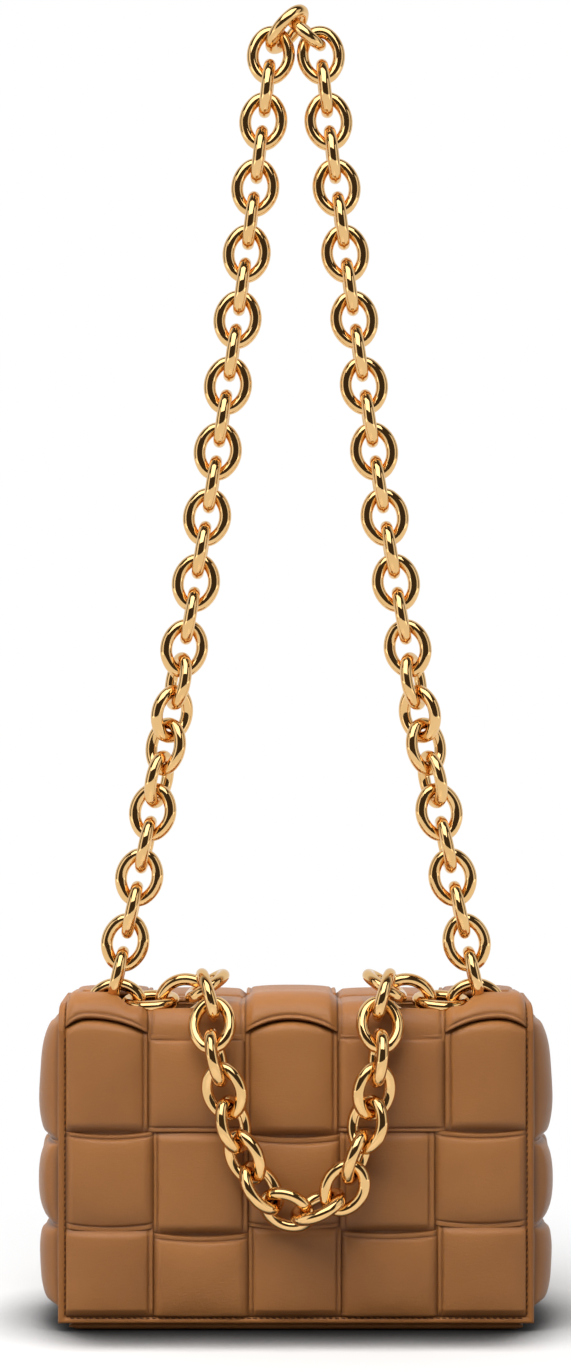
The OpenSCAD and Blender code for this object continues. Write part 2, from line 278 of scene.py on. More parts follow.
def makeLeather(name):
    # fine pores and short creases over a soft drift of tone, with painted shade where the strips meet
    v = leathers[name]
    paint = Paint(bpy.data.materials.new(name))
    where = paint.add("ShaderNodeTexCoord", out=3)
    drift = paint.noise(where, hide["driftScale"], 3.0, hide["driftRough"])
    pores = paint.add("ShaderNodeTexVoronoi", {"feature": "DISTANCE_TO_EDGE"},
                      {"Vector": where, "Scale": v["poreScale"]})
    grain = paint.noise(where, v["grainScale"], 5.0)
    slanted = paint.add("ShaderNodeMapping", None, {
        "Vector": where, "Rotation": hide["creaseTurn"], "Scale": hide["creaseScale"]})
    creases = paint.noise(slanted, 1.0, 3.0)
    drift = paint.between(drift, hide["driftFrom"], hide["driftTo"], soft=False)
    # painted shade: the strips' attribute mixes a dark colour into the tone in the seams and over the sunk
    # ends
    seamShade = paint.add("ShaderNodeAttribute", {"attribute_name": "paintedShade"}, out=2)
    tone = paint.mix(seamShade * hide["seamShadeDepth"], paint.mix(drift, v["deep"], v["colour"]), v["seamShade"])
    cells = paint.between(pores, 0.0, hide["poreEdge"], soft=False)
    height = cells * hide["poreHeight"] + grain * hide["grainHeight"] + creases * v["creases"]
    surface = paint.add("ShaderNodeBsdfPrincipled", None, {
        "Base Color": tone,
        "Roughness": grain * hide["roughSpread"] + v["rough"],
        "Specular IOR Level": v["shine"],
        "Normal": paint.add("ShaderNodeBump", None, {
            "Strength": v["bump"], "Distance": hide["depth"], "Height": height})})
    return paint.finish(surface)


gold = makeGold(plating)
stripLeather, sheetLeather, liningLeather, waxedThread = [makeLeather(name) for name in leathers]
print("stage 2: materials made")

# The weave. An upright cell shows the strip that runs up and down, a level cell the one that runs across.
# Seams between the columns of each row, from the top row down, and between the rows of each column.
weave = {
    "columns": [[-114.0, -73.5, -24.9, 20.4, 73.9, 114.0],
                [-114.0, -70.2, -24.0, 22.0, 68.3, 114.0],
                [-114.0, -70.8, -23.2, 22.1, 70.3, 114.0]],
    "rows": [[147.0, 146.6, 147.0, 146.6, 147.0], [98.4, 98.6, 97.0, 98.8, 99.2],
             [50.8, 48.2, 52.0, 49.6, 52.6], [7.2, 7.2, 7.2, 7.2, 7.2]],
    "band": 2.7, "bandSpread": 0.5, "bandHeight": 2.3,    # the flat band along each long side of a strip
    "borderBand": 0.3,                                    # and what is left of it at the stitched border
    "swell": 3.0, "endHeight": 0.55, "shadeReach": 2.4,   # the pad, and the strip where it dives under
    "lap": 0.5, "dive": 4.0,                              # how far sides and ends reach past the seams
    "sag": 1.7, "sagFade": 14.0, "bowGap": 0.4, "bed": 0.05,
    "waves": 5, "waveSize": (0.05, 0.14), "wavePace": (0.1, 0.22), "waveAbove": 2.4,
    "edge": 5.0, "fine": 0.32, "coarse": 1.5,             # spacing of the points near and away from the edges
}

# How every strip is rounded, in millimetres, with powers that say how squarely its pad rises.
pad = {
    "roll": 0.9, "across": (2.4, 0.6), "along": (3.2, 0.75), "sink": (-1.0, 4.2), "sunkShare": 0.25,
    "line": 0.55, "lineWidth": 0.5, "edgeWidth": 0.6, "thinnest": 0.12,
    # how dark the painted shade lies in the pressed line, at the rolled edge and over the ends that dive
    # under
    "lineShade": 0.5, "edgeShade": 0.55, "endShade": 0.9, "shadeFrom": -0.2,
}

# The shoulder: one row of cells over the front turn and one behind it, cut open over the chain wells.
shoulder = {
    "split": 47.5, "points": 84, "step": 0.9, "band": 2.6,
    "slotFront": (15.6, 24.6), "slotBack": (40.1, 32.2),    # the slot's edges, where it is wide and narrow
    "slotNarrows": (82.0, 92.0), "slotLip": 2.4, "lipDepth": 1.6,
    "pressDepth": 2.4, "pressFrom": 6.0, "pressAcross": (80.0, 97.0),    # the hollow in front of a slot
    "sunkEdge": -4.0, "reach": 1.5, "edgeReach": 3.0, "endReach": 6.0, "outerPull": 0.6,
    "borderRoll": 5.0, "borderShare": 0.35, "thinnest": 0.3, "under": 0.15, "thickness": 2.2,
    # the free lower edge of each raised strip: its height at the left end, at its peak and at the right end,
    # and how far across the peak stands
    "bows": {0: (3.6, 8.0, 0.8, -103.0), 2: (1.0, 7.3, 1.0, -3.0), 4: (0.8, 8.0, 3.6, 100.0)},
    "bowPast": 1.2,
    "raisedFront": {"bandHeight": 5.0, "endHeight": 2.6, "swell": 2.3, "dive": 0.3, "shadeReach": 1.0},
    "raisedBack": {"bandHeight": 4.2, "endHeight": 2.6, "swell": 1.4, "dive": 0.3, "shadeReach": 1.0},
    "sunkFront": {"bandHeight": 1.5, "endHeight": 0.9, "swell": 1.4, "dive": 3.0},
    "sunkBack": {"bandHeight": 2.3, "swell": 2.0, "dive": 3.0},
}


def stripHeight(across, along, sides, ends, bands, v):
    # a flat band with a rolled edge on each long side, a padded middle that rises steeply beside it, and
    # ends that sink below the neighbours' bands; the second result is the painted shade in its seams and over
    # its sunk ends
    low, high = sides
    gap = np.minimum(across - low, high - across)
    band = np.where(across - low < high - across, bands[0], bands[1])
    padLow, padHigh = low + bands[0], high - bands[1]
    start, stop = ends[0] - v["dive"], ends[1] + v["dive"]
    pillow = 1.0
    for place, first, last, (square, rise) in ((across, padLow, padHigh, pad["across"]),
                                               (along, start, stop, pad["along"])):
        fromMiddle = np.clip(np.abs(2 * (place - first) / (last - first) - 1), 0, 1)
        pillow = pillow * (1 - fromMiddle ** square) ** rise
    endGap = np.minimum(along - ends[0], ends[1] - along)
    sink = smooth(endGap, *pad["sink"])
    pillow = pillow * (pad["sunkShare"] + (1 - pad["sunkShare"]) * sink)
    flat = v["endHeight"] + (v["bandHeight"] - v["endHeight"]) * sink
    line = np.exp(-((gap - band) / pad["lineWidth"]) ** 2) * (band > 1) * sink
    # painted shade, darkest in the pressed line, along the rolled edge and over the ends that sink under the
    # next strip
    edge = np.exp(-(gap / pad["edgeWidth"]) ** 2) * (band > 1)
    paintedSeamShade = np.maximum(pad["lineShade"] * line, pad["edgeShade"] * edge)
    tuckedShade = pad["endShade"] * (1 - smooth(endGap, pad["shadeFrom"], v["shadeReach"]))
    height = flat * rolled(gap, pad["roll"]) - pad["line"] * line + v["swell"] * pillow
    return np.maximum(height, pad["thinnest"]), np.maximum(paintedSeamShade, tuckedShade)


def gridLine(low, high, v):
    # sample places that lie close together near both ends, where the bands are
    edge = min(v["edge"], (high - low) / 3)
    fine = np.arange(0, edge, v["fine"])
    middle = np.linspace(low + edge, high - edge, int((high - low - 2 * edge) / v["coarse"]) + 2)
    return np.concatenate([low + fine, middle, np.flip(high - fine)])


def crowded(low, high, count, pull=0.45):
    # sample places that crowd towards both ends: an even line and a sine, mixed
    t = np.linspace(-1, 1, count)
    t = (1 - pull) * t + pull * np.sin(t * math.pi / 2)
    return (low + high) / 2 + (high - low) / 2 * t


def brokenLine(stops, counts):
    # places between stops, so that some grid lines fall exactly on them
    parts = [np.linspace(stops[k], stops[k + 1], counts[k], endpoint=False) for k in range(len(counts))]
    return np.concatenate(parts + [np.array([stops[-1]])])


def bowedEdge(a, bow, a0, a1):
    # two half parabolas that meet at the peak of a raised strip's free lower edge
    left, peak, right, peakAt = bow
    drop = np.where(a < peakAt, peak - left, peak - right)
    reach = np.where(a < peakAt, peakAt - a0, a1 - peakAt)
    return peak - drop * np.clip(np.abs(a - peakAt) / reach, 0, shoulder["bowPast"]) ** 2


def weaveCell(cell, upright, v, place=wrapPoint, sag=0.0, seed=0, border=(0, 0, 0, 0), bow=None):
    # one visible stretch of a strip, as a closed pad on the leather under it: the strip's profile across,
    # its rise along, and a few sine waves over it; border marks the left, right, lower and upper edges that
    # meet the stitched border
    a0, a1, b0, b1 = cell
    random = np.random.default_rng(seed)
    bands = v["band"] + v["bandSpread"] * random.uniform(-1, 1, 2)
    sideMarks, endMarks = (border[:2], border[2:]) if upright else (border[2:], border[:2])
    sideEdges, endEdges = ((a0, a1), (b0, b1)) if upright else ((b0, b1), (a0, a1))
    bands = [v["borderBand"] if mark else band for mark, band in zip(sideMarks, bands)]
    sides = [edge + sign * v["lap"] * (not mark) for edge, sign, mark in zip(sideEdges, (-1, 1), sideMarks)]
    reach = [edge + sign * v["dive"] * (not mark) for edge, sign, mark in zip(endEdges, (-1, 1), endMarks)]
    across, along = np.meshgrid(gridLine(*sides, v), gridLine(*reach, v), indexing="ij")
    height, paintedShading = stripHeight(across, along, sides, endEdges, bands, v)
    for wave in range(v["waves"]):    # slow swells that keep the pads from being all alike
        turn, start, size = random.uniform(0, math.pi), random.uniform(0, 6.3), random.uniform(*v["waveSize"])
        phase = (across * math.cos(turn) + along * math.sin(turn)) * random.uniform(*v["wavePace"]) + start
        height = height + size * np.clip(height - v["waveAbove"], 0, 1) * np.sin(phase)
    a, b = (across, along) if upright else (along, across)
    if not upright:    # a level strip hangs in a shallow parabola between its ends
        drop = sag * (1 - np.clip((2 * a - a0 - a1) / (a1 - a0), -1, 1) ** 2)
        b = b - drop * (smooth(b, b0, b0 + v["sagFade"]) if border[2] else 1)
    if bow:
        b = b + smooth(b, (b0 + b1) / 2, b1) * (bowedEdge(a, bow, a0, a1) + v["bowGap"])
    return shell(place(a, b, height), place(a, b, 0 * height + v["bed"]), None, paintedShading)


def panelCells(level, place=wrapPoint, seed=0):
    # the three rows of one face; level picks the cells whose strip runs across
    parts = []
    for row, edges in enumerate(weave["columns"]):
        for col in range(len(edges) - 1):
            upright = (row + col) % 2 == 0
            if upright == level:
                continue
            high, low = weave["rows"][row][col], weave["rows"][row + 1][col]
            cell = (edges[col], edges[col + 1], low - body["foldHeight"], high - body["foldHeight"])
            border = (col == 0, col == 4, row == 2, 0)
            bow = shoulder["bows"][col] if row == 0 and upright else None
            parts.append(weaveCell(cell, upright, weave, place, weave["sag"] * (row > 0),
                                   seed + 10 * row + col, border, bow))
    return parts


def foldBlend(piece):
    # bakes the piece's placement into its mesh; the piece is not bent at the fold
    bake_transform(piece)


flapUpright = makePiece("flapUprightStrips", panelCells(False), stripLeather,
                        stands=["flap_strips_vertical"])
flapLevel = makePiece("flapLevelStrips", panelCells(True), stripLeather,
                      stands=["flap_strips_horizontal"])
for piece in (flapUpright, flapLevel):
    foldBlend(piece)
for name, level, node in (("backUprightStrips", False, "back_strips_vertical"),
                          ("backLevelStrips", True, "back_strips_horizontal")):
    piece = makePiece(name, panelCells(level, turnedPoint, 100), stripLeather, "bag", [node])
print("stage 3: woven faces made")


def slotEdges(a):
    # the slot over a chain well: its front and back edges, which draw together towards its outer end
    narrow = smooth(np.abs(a), *shoulder["slotNarrows"])
    return [wide + narrow * (thin - wide) for wide, thin in (shoulder["slotFront"], shoulder["slotBack"])]


def slotStops(low, high):
    # the cell's two sides, with the ends of its slot and of the slot's narrowing between them
    side = -1 if low + high < 0 else 1
    places = sorted(side * place for place in body["slotX"] + shoulder["slotNarrows"])
    return [low] + [place for place in places if low < place < high] + [high]


def inSlot(a, b, front, back):
    # true inside either slot, between its inner and outer end and between its front and back edge
    slotIn, slotOut = body["slotX"]
    return (np.abs(a) > slotIn) & (np.abs(a) < slotOut) & (b > front) & (b < back)


def pressedHeight(height, a, b, raised):
    # a rolled lip round the slot, and a hollow that the chain presses into the raised strip in front of it
    slotIn, slotOut = body["slotX"]
    front, back = slotEdges(a)
    away = np.maximum(np.maximum(slotIn - np.abs(a), np.abs(a) - slotOut), np.maximum(front - b, b - back))
    low, high = shoulder["pressAcross"]
    pressed = smooth(-np.abs(a), -high, -low) * smooth(b, shoulder["pressFrom"], front) * (b < back) * raised
    height = height - shoulder["pressDepth"] * pressed
    lip = shoulder["lipDepth"] * (1 - rolled(away, shoulder["slotLip"]))
    return np.where(away < shoulder["slotLip"], height - lip, height)


def shoulderCell(col, behind):
    # one cell of the shoulder: a strip's profile laid over the turn, with its lower edge bowed and its slot
    # cut out; raised strips run up and over, and the strips between them run across under them
    a0, a1 = weave["columns"][0][col:col + 2]
    b0, b1 = (shoulder["split"], wrapLength) if behind else (0.0, shoulder["split"])
    raised, opened = col % 2 == 0, not behind and col != 2
    level = raised != behind
    v = dict(weave, **shoulder[("raised" if raised else "sunk") + ("Back" if behind else "Front")])
    first, last = col == 0, col == 4
    aReach, bReach = (v["dive"], v["lap"]) if level else (v["lap"], shoulder["reach"])
    aLow, aHigh, bHigh = a0 - aReach * (not first), a1 + aReach * (not last), b1 + bReach
    wideFront, wideBack = shoulder["slotFront"][0], shoulder["slotBack"][0]
    if opened:
        stops = slotStops(aLow, aHigh)
        steps = np.diff(stops) / shoulder["step"]
        aLine = brokenLine(stops, [max(4, int(count)) for count in steps])
        bLine = brokenLine([b0, wideFront, wideBack, bHigh], [30, 26, 10])
    else:
        aLine = crowded(aLow, aHigh, shoulder["points"])
        bLine = crowded(b0 - bReach * behind, bHigh, shoulder["points"])
    a, plain = np.meshgrid(aLine, bLine, indexing="ij")
    b = plain
    if not behind:    # rows of points follow the bowed lower edge and the two edges of the slot
        foot = bowedEdge(a, shoulder["bows"][col], a0, a1) if raised else 0 * a + shoulder["sunkEdge"]
        front, back = slotEdges(a)
        b = np.where(plain < wideFront, foot + (front - foot) * plain / wideFront, np.where(
            plain < wideBack, front + (back - front) * (plain - wideFront) / (wideBack - wideFront),
            back + (bHigh - back) * (plain - wideBack) / (bHigh - wideBack)))
    along, across = a - (a0 + a1) / 2, b - (b0 + b1) / 2
    halfAlong, halfAcross = (a1 - a0) / 2, (b1 - b0) / 2
    if not level:
        along, across = across, along
        halfAlong, halfAcross = halfAcross + shoulder["endReach"], halfAlong
    if level and not behind:    # measured from the bowed edge instead of a straight one
        stretch = halfAcross / (halfAcross - shoulder["edgeReach"])
        across = np.where(across < 0, np.clip(b - foot, 0, None) * stretch - halfAcross, across)
        across = np.clip(across, -halfAcross, halfAcross)
    if level and (first or last):    # the outer end runs on to the stitched border
        along = np.where((along < 0) if first else (along > 0), along * shoulder["outerPull"], along)
    wide = halfAcross + v["lap"]
    height, paintedShading = stripHeight(across, along, (-wide, wide), (-halfAlong, halfAlong),
                               (shoulder["band"], shoulder["band"]), v)
    share = shoulder["borderShare"]
    height = height * (share + (1 - share) * rolled(body["bodyHalf"] - np.abs(a), shoulder["borderRoll"]))
    keep = None
    if opened:
        height = pressedHeight(height, a, b, raised)
        aMid, bMid = (a[:-1, :-1] + a[1:, 1:]) / 2, (plain[:-1, :-1] + plain[1:, 1:]) / 2
        keep = ~inSlot(aMid, bMid, wideFront, wideBack)
    height = np.maximum(height, shoulder["thinnest"])
    under = 0 * height + shoulder["under"]
    if raised and not behind:
        under = np.maximum(height - shoulder["thickness"], under)
    return shell(wrapPoint(a, b, height), wrapPoint(a, b, under), keep, paintedShading)


for name, cols, node in (("shoulderRaised", (0, 2, 4), "shoulder_strips_raised"),
                         ("shoulderRecessed", (1, 3), "shoulder_strips_recessed")):
    parts = [shoulderCell(col, behind) for col in cols for behind in (False, True)]
    piece = makePiece(name, parts, stripLeather, "bag", [node])
print("stage 4: shoulder made")

# The sheet that carries the weave: flap, top and back in one, with a rolled and stitched border.
sheet = {
    "low": 3.6, "border": 3.6, "borderHeight": 1.5, "borderSoft": (0.5, 0.4), "sunk": 0.1,
    "thickness": 1.6, "thinShare": 0.4, "roll": 0.8, "cutFront": 13.0,
    "liningHalf": 116.6, "liningLow": 0.8, "liningHigh": -0.6, "liningTop": 1.65, "liningUnder": 2.2,
}
lowestB = sheet["low"] - body["foldHeight"]


def sheetPart(b0, b1, lowEnd, highEnd, cut=False):
    # a flat sheet with a ridge along its border, rolled at the edge, and open over the chain wells if cut
    half = body["sheetHalf"]
    slotBack = shoulder["slotBack"][0]
    if cut:
        slotIn, slotOut = body["slotX"]
        aLine = brokenLine([-half, -slotOut, -slotIn, slotIn, slotOut, half], [24, 40, 30, 40, 24])
        bLine = brokenLine([b0, sheet["cutFront"], slotBack, b1], [12, 26, 150])
    else:
        aLine = crowded(-half, half, 160)
        bLine = crowded(b0, b1, 130)
    a, b = np.meshgrid(aLine, bLine, indexing="ij")
    gap = half - np.abs(a)
    for isEnd, fromEnd in ((lowEnd, b - b0), (highEnd, b1 - b)):
        if isEnd:
            gap = np.minimum(gap, fromEnd + sheet["roll"] * smooth(fromEnd, 0, 2))
    rim = rolled(gap, sheet["roll"])
    inner, outer = sheet["borderSoft"]
    ridge = 1 - smooth(gap, sheet["border"] - inner, sheet["border"] + outer)
    top = sheet["borderHeight"] * ridge * rim - sheet["sunk"] * (1 - ridge)
    under = -sheet["thickness"] * (sheet["thinShare"] + (1 - sheet["thinShare"]) * rim)
    keep = None
    if cut:
        aMid, bMid = (a[:-1, :-1] + a[1:, 1:]) / 2, (b[:-1, :-1] + b[1:, 1:]) / 2
        keep = ~inSlot(aMid, bMid, sheet["cutFront"], slotBack)
    return shell(wrapPoint(a, b, top), wrapPoint(a, b, under), keep)


def liningSheet():
    # a thin even sheet behind the flap's sheet
    half = sheet["liningHalf"]
    bLine = crowded(lowestB + sheet["liningLow"], sheet["liningHigh"], 60)
    a, b = np.meshgrid(crowded(-half, half, 60), bLine, indexing="ij")
    return shell(wrapPoint(a, b, 0 * a - sheet["liningTop"]), wrapPoint(a, b, 0 * a - sheet["liningUnder"]))


flapSheet = makePiece("flapSheet", [sheetPart(lowestB, 2.0, True, False)], sheetLeather,
                      stands=["flap_panel"])
foldBlend(flapSheet)
makePiece("topAndBackSheet", [sheetPart(1.0, wrapLength - lowestB, False, True, cut=True)],
          sheetLeather, "bag", ["top_panel", "back_panel"])
flapLining = makePiece("flapLiningSheet", [liningSheet()], liningLeather, stands=["flap_lining"])
foldBlend(flapLining)

stitch = {
    "step": 3.1, "length": 2.2, "radius": 0.36, "slant": 0.16, "square": 4, "tip": 0.02,
    "inset": 3.5, "lift": 1.05, "foot": 2.75, "corner": 2.0, "around": 6, "rings": 7, "samples": 200,
}


def stitchRow(path, normal):
    # small capsules laid end to end along a path of points, each turned a little out of line: a circle whose
    # radius falls towards both ends as the root of one minus a fourth power
    travelled = np.concatenate([[0], np.cumsum(np.linalg.norm(np.diff(path, axis=0), axis=1))])

    def onPath(values, at):
        return np.stack([np.interp(at, travelled, values[:, k]) for k in range(3)], -1)

    count = int(travelled[-1] / stitch["step"])
    at = (np.arange(count) + 0.5) * travelled[-1] / count
    centres = onPath(path, at)
    ahead = onPath(path, at + 0.5) - onPath(path, at - 0.5)
    ahead /= np.linalg.norm(ahead, axis=1, keepdims=True)
    out = onPath(normal, at)
    out /= np.linalg.norm(out, axis=1, keepdims=True)
    side = np.cross(ahead, out)
    ahead = ahead + stitch["slant"] * side
    rings, around = stitch["rings"], stitch["around"]
    t = np.linspace(-1, 1, rings)
    turn = np.linspace(0, 2 * math.pi, around, endpoint=False)
    width = stitch["radius"] * np.sqrt(np.clip(1 - t ** stitch["square"], stitch["tip"], 1))
    circle = (side[:, None, None] * np.cos(turn)[None, None, :, None]
              + out[:, None, None] * np.sin(turn)[None, None, :, None])
    points = (centres[:, None, None] + ahead[:, None, None] * t[None, :, None, None] * stitch["length"] / 2
              + width[None, :, None, None] * circle)
    index = np.arange(rings * around).reshape(rings, around)
    right = np.roll(index, -1, 1)
    quads = np.stack([index[:-1], index[1:], right[1:], right[:-1]], -1).reshape(-1, 4)
    caps = np.array([[0, 1, 2, 3], [3, 4, 5, 0]])    # two quads close a ring of six
    quads = np.concatenate([quads, caps, caps[:, ::-1] + (rings - 1) * around])
    faces = (quads[None] + (np.arange(count) * rings * around)[:, None, None]).reshape(-1, 4)
    return outward(points.reshape(-1, 3), faces)


def borderStitches(b0, b1, foot):
    # two rows up the sides of the wrapped sheet and one along its foot
    inset = body["sheetHalf"] - stitch["inset"]
    b = np.linspace(b0, b1, stitch["samples"])
    a = np.linspace(stitch["corner"] - inset, inset - stitch["corner"], stitch["samples"])
    parts = []
    for across, up in ((0 * b - inset, b), (0 * b + inset, b), (a, 0 * a + foot)):
        normal = wrapPoint(0 * across, up, 0 * up + 1) - wrapPoint(0 * across, up, 0 * up)
        parts.append(stitchRow(wrapPoint(across, up, 0 * up + stitch["lift"]), normal))
    return parts


footB = lowestB + stitch["foot"]
flapThread = makePiece("flapStitches", borderStitches(footB + 1, -1.5, footB), waxedThread)
foldBlend(flapThread)
makePiece("bodyStitches", borderStitches(3.0, wrapLength - footB - 1, wrapLength - footB), waxedThread,
          "bag")
print("stage 5: sheets and stitches made")

# The sides: a bulging gusset with two columns of woven cells in three rows.
gusset = {
    "front": -35.6, "middle": -2.0, "back": 31.6, "inset": 0.4, "rows": [154.0, 93.0, 50.6, 9.8],
    "belly": 8.5, "bellyHalf": 35.0, "bellyMiddle": 78.0, "bellyRise": 84.0,
    "acrossPower": 0.6, "upPower": 0.8,
    "rimDepth": 1.75, "rimEnd": 3.2, "rimMiddle": 76.0, "rings": 40, "samples": 240,
    "proud": 0.2, "thickness": 2.0,
}
gussetWeave = dict(weave, bandHeight=1.9, swell=5.6, dive=3.0, band=1.9, bandSpread=0.2, fine=0.45)


def bellyAt(y, z):
    # how far the gusset stands out: a soft half round from front to back, squarer from top to bottom
    along = np.clip((y - gusset["middle"]) / gusset["bellyHalf"], -1, 1)
    up = np.clip((z - gusset["bellyMiddle"]) / gusset["bellyRise"], -1, 1)
    return gusset["belly"] * (1 - along ** 2) ** gusset["acrossPower"] * (1 - up ** 4) ** gusset["upPower"]


def sideCells(side):
    # two columns of three cells, laid over the belly, with upright and level strips by turns
    def onSide(a, b, n):
        # a runs from front to back, b up
        return np.stack([side * (body["bodyHalf"] + bellyAt(a, b) + n), a, b], -1)

    parts = []
    halves = [gusset["front"] + gusset["inset"], gusset["middle"], gusset["back"] - gusset["inset"]]
    for row in range(3):
        for col in range(2):
            upright = (row + col) % 2 == 0
            cell = (halves[col], halves[col + 1], gusset["rows"][row + 1], gusset["rows"][row])
            parts.append(weaveCell(cell, upright, gussetWeave, onSide, 0.0, 300 + 10 * row + col))
    return parts


def sideSkin(side):
    # a plate that fills the side's outline: rings of the outline drawn in towards its middle
    end = gusset["rimEnd"]
    b = np.linspace(end - body["foldHeight"], wrapLength + body["foldHeight"] - end, gusset["samples"])
    rim = wrapPoint(0 * b, b, 0 * b - gusset["rimDepth"])[:, 1:]
    rim = np.concatenate([rim, rim[:1]])
    rim[:, 0] = np.maximum(rim[:, 0], gusset["front"])
    centre = np.array([gusset["middle"], gusset["rimMiddle"]])
    yz = centre + (rim[:, None] - centre) * np.linspace(0.02, 1, gusset["rings"])[None, :, None]
    out = body["bodyHalf"] + bellyAt(yz[..., 0], yz[..., 1]) + gusset["proud"]
    back = 0 * out + body["bodyHalf"] - gusset["thickness"]
    return shell(*[np.concatenate([(side * x)[..., None], yz], -1) for x in (out, back)])


for side, word in ((-1, "Left"), (1, "Right")):
    piece = makePiece("sideStrips" + word, sideCells(side), stripLeather, "bag",
                      ["side_puffs_" + word.lower()])
    makePiece("sideSkin" + word, [sideSkin(side)], sheetLeather, "bag",
              ["side_panel_" + word.lower()])
print("stage 6: sides made")

# The base and the wall behind the flap: the spans of each plate and the roll of its edges.
plates = {
    "base": {"spans": [(-112.5, 112.5), (-35.8, 32.5), (0.0, 3.2)], "thin": 2, "roll": 1.4},
    "front": {"spans": [(-112.0, 112.0), (-35.8, -33.9), (3.0, 108.0)], "thin": 1, "roll": 1.0},
    "edgeShare": 0.25, "points": 40, "hem": (110.0, -35.78, 104.6), "hemPoints": 60,
}


def roundedSlab(v):
    # a plate with rolled edges: its two faces draw together over the last few millimetres
    spans, thin = v["spans"], v["thin"]
    first, second = [k for k in range(3) if k != thin]
    u, w = np.meshgrid(*[crowded(*spans[k], plates["points"]) for k in (first, second)], indexing="ij")
    gap = np.minimum(np.minimum(u - spans[first][0], spans[first][1] - u),
                     np.minimum(w - spans[second][0], spans[second][1] - w))
    draw = plates["edgeShare"] + (1 - plates["edgeShare"]) * rolled(gap, v["roll"])
    centre, half = sum(spans[thin]) / 2, (spans[thin][1] - spans[thin][0]) / 2
    faces = []
    for sign in (1, -1):
        grid = [None] * 3
        grid[first], grid[second], grid[thin] = u, w, centre + sign * half * draw
        faces.append(np.stack(grid, -1))
    return shell(*faces)


for name, key, node in (("baseSkin", "base", "base_panel"), ("frontWallSkin", "front", "front_wall")):
    makePiece(name, [roundedSlab(plates[key])], sheetLeather, "bag", [node])
hemHalf, hemDepth, hemHeight = plates["hem"]
hemLine = np.linspace(-hemHalf, hemHalf, plates["hemPoints"])[:, None] * [1, 0, 0] + [0, hemDepth, hemHeight]
makePiece("frontHemStitches", [stitchRow(hemLine, 0 * hemLine + [0, -1, 0])], waxedThread,
          "bag")

# The cups: the lining of the bag and of each chain well. A skin is how far it is let out, and its floor.
lining = {
    "middle": (0.0, -1.0), "half": (111.0, 32.0), "square": 0.16, "counts": (160, 14, 26),
    "skins": ((0.0, 5.4), (0.7, 4.7)), "mouth": 107.0, "top": 142.0, "mouthFrom": -0.97,
}
well = {
    "middle": (sum(body["slotX"]) / 2, sum(body["slotY"]) / 2),
    "half": ((body["slotX"][1] - body["slotX"][0]) / 2, (body["slotY"][1] - body["slotY"][0]) / 2),
    "square": 0.25, "counts": (96, 10, 14),
    "skins": ((0.0, body["wellFloor"]), (1.0, body["wellFloor"] - 1.1)), "roofRadius": 12.3,
}


def cup(v, top, side=1):
    # a squarish ring drawn out over the floor and then up the walls: its x and y are the cosine and the
    # sine raised to a small power, which squares the corners
    around, flat, wall = v["counts"]
    turn = np.append(np.linspace(0, 2 * math.pi, around, endpoint=False), 0.0)
    x, y = [np.sign(wave) * np.abs(wave) ** v["square"] for wave in (np.cos(turn), np.sin(turn))]
    level = np.concatenate([np.zeros(flat), np.linspace(0, 1, wall)])[:, None]
    inward = np.concatenate([np.linspace(0.02, 1, flat), np.ones(wall)])[:, None]
    faces = []
    for grow, floor in v["skins"]:
        px = side * (v["middle"][0] + x * inward * (v["half"][0] + grow))
        py = v["middle"][1] + y * inward * (v["half"][1] + grow)
        faces.append(np.stack([px, py, floor + level * (top(y, py) - floor)], -1))
    return shell(*faces)


def liningTop(y, py):
    # lower in front, at the mouth
    return np.where(y < lining["mouthFrom"], lining["mouth"], lining["top"])


def wellTop(y, py):
    # up to the underside of the shoulder's round front and flat top
    radius = well["roofRadius"]
    fromArc = np.minimum(py - body["arcFront"], 0)
    return body["foldHeight"] + np.sqrt(np.clip(radius ** 2 - fromArc ** 2, 0, None))


makePiece("liningCup", [cup(lining, liningTop)], liningLeather, "bag", ["inner_lining"])
for side, word in ((-1, "Left"), (1, "Right")):
    makePiece("wellCup" + word, [cup(well, wellTop, side)], liningLeather, "bag",
              ["chain_well_" + word.lower()])

# The loops that hold the anchor links' lower bars, placed in link lengths like the links themselves.
anchor = {
    "linkLength": 29.6, "acrossShare": 3.0270, "depthShare": -0.7432, "heightShare": 5.4358, "barDrop": 9.05,
    "radii": (5.2, 3.95), "half": 3.5, "opening": 0.35, "points": (60, 12),
}


def anchorLoop(side):
    # a band bent round the bar: most of a circle, with both tails flat on the well's floor
    length = anchor["linkLength"]
    bar = anchor["heightShare"] * length - anchor["barDrop"]
    rounds, wide = anchor["points"]
    angle = np.linspace(-anchor["opening"] * math.pi, (1 + anchor["opening"]) * math.pi, rounds)[:, None]
    x = (side * anchor["acrossShare"] * length + crowded(-anchor["half"], anchor["half"], wide))[None, :]
    faces = []
    for radius in anchor["radii"]:
        y = anchor["depthShare"] * length + radius * np.cos(angle)
        z = np.maximum(bar + radius * np.sin(angle), body["wellFloor"])
        faces.append(np.stack([x + 0 * angle, y + 0 * x, z + 0 * x], -1))
    return shell(*faces)


makePiece("anchorLoops", [anchorLoop(-1), anchorLoop(1)], sheetLeather, "bag",
          ["anchor_loops"])
print("stage 7: inside made")


# The hidden board and the magnets keep their solids, in plain finishes of their own.
board = {"colour": (0.05, 0.045, 0.04, 1), "pale": (0.09, 0.08, 0.07, 1), "fibreScale": 400.0,
         "rough": 0.6, "roughSpread": 0.2}
steel = {"colour": (0.6, 0.6, 0.62, 1), "hazeScale": 300.0, "rough": 0.25, "roughSpread": 0.2}


def makeBoard(v):
    # a dull fibre, by one noise that mixes its two tones
    paint = Paint(bpy.data.materials.new("stiffBoard"))
    fibre = paint.noise(paint.add("ShaderNodeTexCoord", out=3), v["fibreScale"], 4.0)
    return paint.finish(paint.add("ShaderNodeBsdfPrincipled", None, {
        "Base Color": paint.mix(fibre, v["colour"], v["pale"]),
        "Roughness": fibre * v["roughSpread"] + v["rough"]}))


